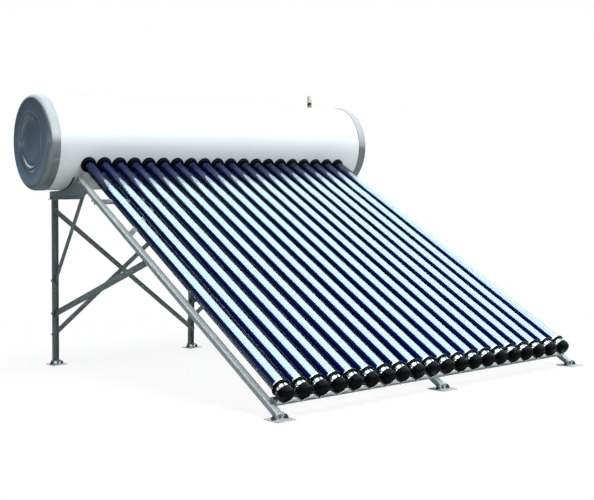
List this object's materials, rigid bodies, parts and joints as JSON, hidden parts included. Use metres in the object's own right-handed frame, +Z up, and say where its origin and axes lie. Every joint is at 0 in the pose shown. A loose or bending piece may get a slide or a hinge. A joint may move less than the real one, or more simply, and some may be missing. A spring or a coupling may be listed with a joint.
{
  "type": "solar water heater",
  "caption": "Evacuated-tube solar water heater: horizontal insulated tank on a sloping galvanised frame, with a row of glass tubes plugged into it and resting in cups on a tail rail.",
  "frame": {"origin": "on the ground, at the middle of the unit's bounding box", "axes": "+X along the tank, to the right as seen from the tube side; +Y from the low end of the tubes towards the tank; +Z up"},
  "size_m": [1.934, 2.047, 1.413],
  "materials": {
    "casing": "gloss white coil-coated steel",
    "end_cap": "gloss blue-grey",
    "inner_tank": "stainless",
    "foam": "rigid foam",
    "tube_glass": "clear outer glass over a dark blue selective coating",
    "black_rubber": "matt",
    "silicone": "satin",
    "tail_cup": "satin black",
    "galvanised": "hot-dip galvanised",
    "brass": "dull",
    "vent_cap": "worn chrome"
  },
  "bodies": {
    "frame_and_tank": {"tank_shell": "casing", "end_cap_left": "end_cap", "end_cap_right": "end_cap", "inner_tank": "inner_tank", "insulation_foam": "foam", "evacuated_tube_01": "tube_glass", "evacuated_tube_02": "tube_glass", "evacuated_tube_03": "tube_glass", "evacuated_tube_04": "tube_glass", "evacuated_tube_05": "tube_glass", "evacuated_tube_06": "tube_glass", "evacuated_tube_07": "tube_glass", "evacuated_tube_08": "tube_glass", "evacuated_tube_09": "tube_glass", "evacuated_tube_10": "tube_glass", "evacuated_tube_11": "tube_glass", "evacuated_tube_12": "tube_glass", "evacuated_tube_13": "tube_glass", "evacuated_tube_14": "tube_glass", "evacuated_tube_15": "tube_glass", "evacuated_tube_16": "tube_glass", "evacuated_tube_17": "tube_glass", "evacuated_tube_18": "tube_glass", "evacuated_tube_19": "tube_glass", "evacuated_tube_20": "tube_glass", "dust_seal_strip": "black_rubber", "water_seal_strip": "silicone", "tail_cup_strip": "tail_cup", "tail_rail": "galvanised", "upper_cross_rail": "galvanised", "front_brace_left": "galvanised", "front_brace_right": "galvanised", "rear_brace_left_down": "galvanised", "rear_brace_left_up": "galvanised", "rear_brace_right_up": "galvanised", "rear_brace_right_down": "galvanised", "front_rail_left": "galvanised", "rear_leg_left": "galvanised", "tank_cradle_left": "galvanised", "knee_brace_left": "galvanised", "side_strut_left": "galvanised", "front_rail_middle": "galvanised", "rear_leg_middle": "galvanised", "tank_cradle_middle": "galvanised", "knee_brace_middle": "galvanised", "side_strut_middle": "galvanised", "front_rail_right": "galvanised", "rear_leg_right": "galvanised", "tank_cradle_right": "galvanised", "knee_brace_right": "galvanised", "side_strut_right": "galvanised", "vent_fitting": "brass", "water_connection": "brass"},
    "front_foot_left": {"front_foot_left": "galvanised"},
    "front_foot_middle": {"front_foot_middle": "galvanised"},
    "front_foot_right": {"front_foot_right": "galvanised"},
    "rear_foot_left": {"rear_foot_left": "galvanised"},
    "rear_foot_middle": {"rear_foot_middle": "galvanised"},
    "rear_foot_right": {"rear_foot_right": "galvanised"},
    "vent_cap": {"vent_cap": "vent_cap"}
  },
  "joints": [
    {"name": "front_foot_left_hinge", "type": "hinge", "parent": "frame_and_tank", "child": "front_foot_left", "pos_m": [-0.797, -0.97, 0.016], "axis": [1, 0, 0], "range_deg": [-30, 25]},
    {"name": "front_foot_middle_hinge", "type": "hinge", "parent": "frame_and_tank", "child": "front_foot_middle", "pos_m": [0, -0.97, 0.016], "axis": [1, 0, 0], "range_deg": [-30, 25]},
    {"name": "front_foot_right_hinge", "type": "hinge", "parent": "frame_and_tank", "child": "front_foot_right", "pos_m": [0.797, -0.97, 0.016], "axis": [1, 0, 0], "range_deg": [-30, 25]},
    {"name": "rear_foot_left_hinge", "type": "hinge", "parent": "frame_and_tank", "child": "rear_foot_left", "pos_m": [-0.797, 0.99, 0.016], "axis": [1, 0, 0], "range_deg": [-25, 10]},
    {"name": "rear_foot_middle_hinge", "type": "hinge", "parent": "frame_and_tank", "child": "rear_foot_middle", "pos_m": [0, 0.99, 0.016], "axis": [1, 0, 0], "range_deg": [-25, 10]},
    {"name": "rear_foot_right_hinge", "type": "hinge", "parent": "frame_and_tank", "child": "rear_foot_right", "pos_m": [0.797, 0.99, 0.016], "axis": [1, 0, 0], "range_deg": [-25, 10]},
    {"name": "vent_cap_lift", "type": "slide", "parent": "frame_and_tank", "child": "vent_cap", "axis": [0, 0, 1], "range_m": [0, 0.004]}
  ]
}
